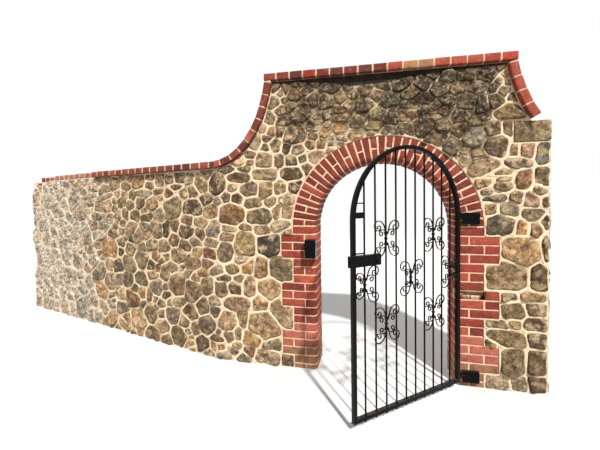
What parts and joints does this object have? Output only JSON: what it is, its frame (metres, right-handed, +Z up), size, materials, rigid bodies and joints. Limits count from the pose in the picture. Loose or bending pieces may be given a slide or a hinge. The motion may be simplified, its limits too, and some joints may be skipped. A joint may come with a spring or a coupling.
{
  "type": "garden wall with arched doorway and gate",
  "caption": "Rubble-stone garden wall with swept brick coping, a brick-dressed round-arched doorway and an arched iron gate with scrollwork.",
  "frame": {"origin": "ground level at the middle of the hinge-side jamb's foot, on the footing mount", "axes": "+X along the doorway wall to the right as seen from the gate side, +Y through the wall away from the gate, +Z up"},
  "size_m": [6.3376, 2.099, 2.71],
  "materials": {
    "rubble": "rough rubble in pale lime mortar",
    "dressed_stone": "squared stone, weathered",
    "brick": "soft red facing brick in pale mortar",
    "coping_brick": "dark red coping brick, weathered",
    "black_iron": "black paint, worn satin"
  },
  "bodies": {
    "wall": {"low_wall_far": "rubble", "low_wall_middle": "rubble", "low_wall_near": "rubble", "sweep_wall_left": "rubble", "pier_wall_left": "rubble", "wall_over_arch": "rubble", "pier_wall_right": "rubble", "quoin_stone": "dressed_stone", "arch_ring": "brick", "jamb_left": "brick", "jamb_right": "brick", "coping_high": "coping_brick", "coping_sweep_left": "coping_brick", "coping_sweep_right": "coping_brick", "coping_low": "coping_brick", "coping_flush": "coping_brick", "coping_remnant": "coping_brick", "latch_keep": "black_iron", "hinge_block_top": "black_iron", "hinge_block_bottom": "black_iron"},
    "gate": {"hinge_stile": "black_iron", "lock_stile": "black_iron", "arch_bar": "black_iron", "bottom_rail": "black_iron", "gate_bars": "black_iron", "scrolls_top": "black_iron", "scrolls_middle": "black_iron", "scrolls_bottom": "black_iron", "collars": "black_iron", "lock_case": "black_iron", "tie_block": "black_iron", "hinge_eyes": "black_iron"},
    "bolt": {"lock_bolt": "black_iron"}
  },
  "joints": [
    {"name": "gate_swing", "type": "hinge", "parent": "wall", "child": "gate", "pos_m": [-0.0745, -0.20075, 0.12], "axis": [0, 0, 1], "range_deg": [-40.3, 64.7]},
    {"name": "bolt_slide", "type": "slide", "parent": "gate", "child": "bolt", "axis": [-0.7627, -0.6468, 0], "range_m": [-0.005, 0.08]}
  ]
}
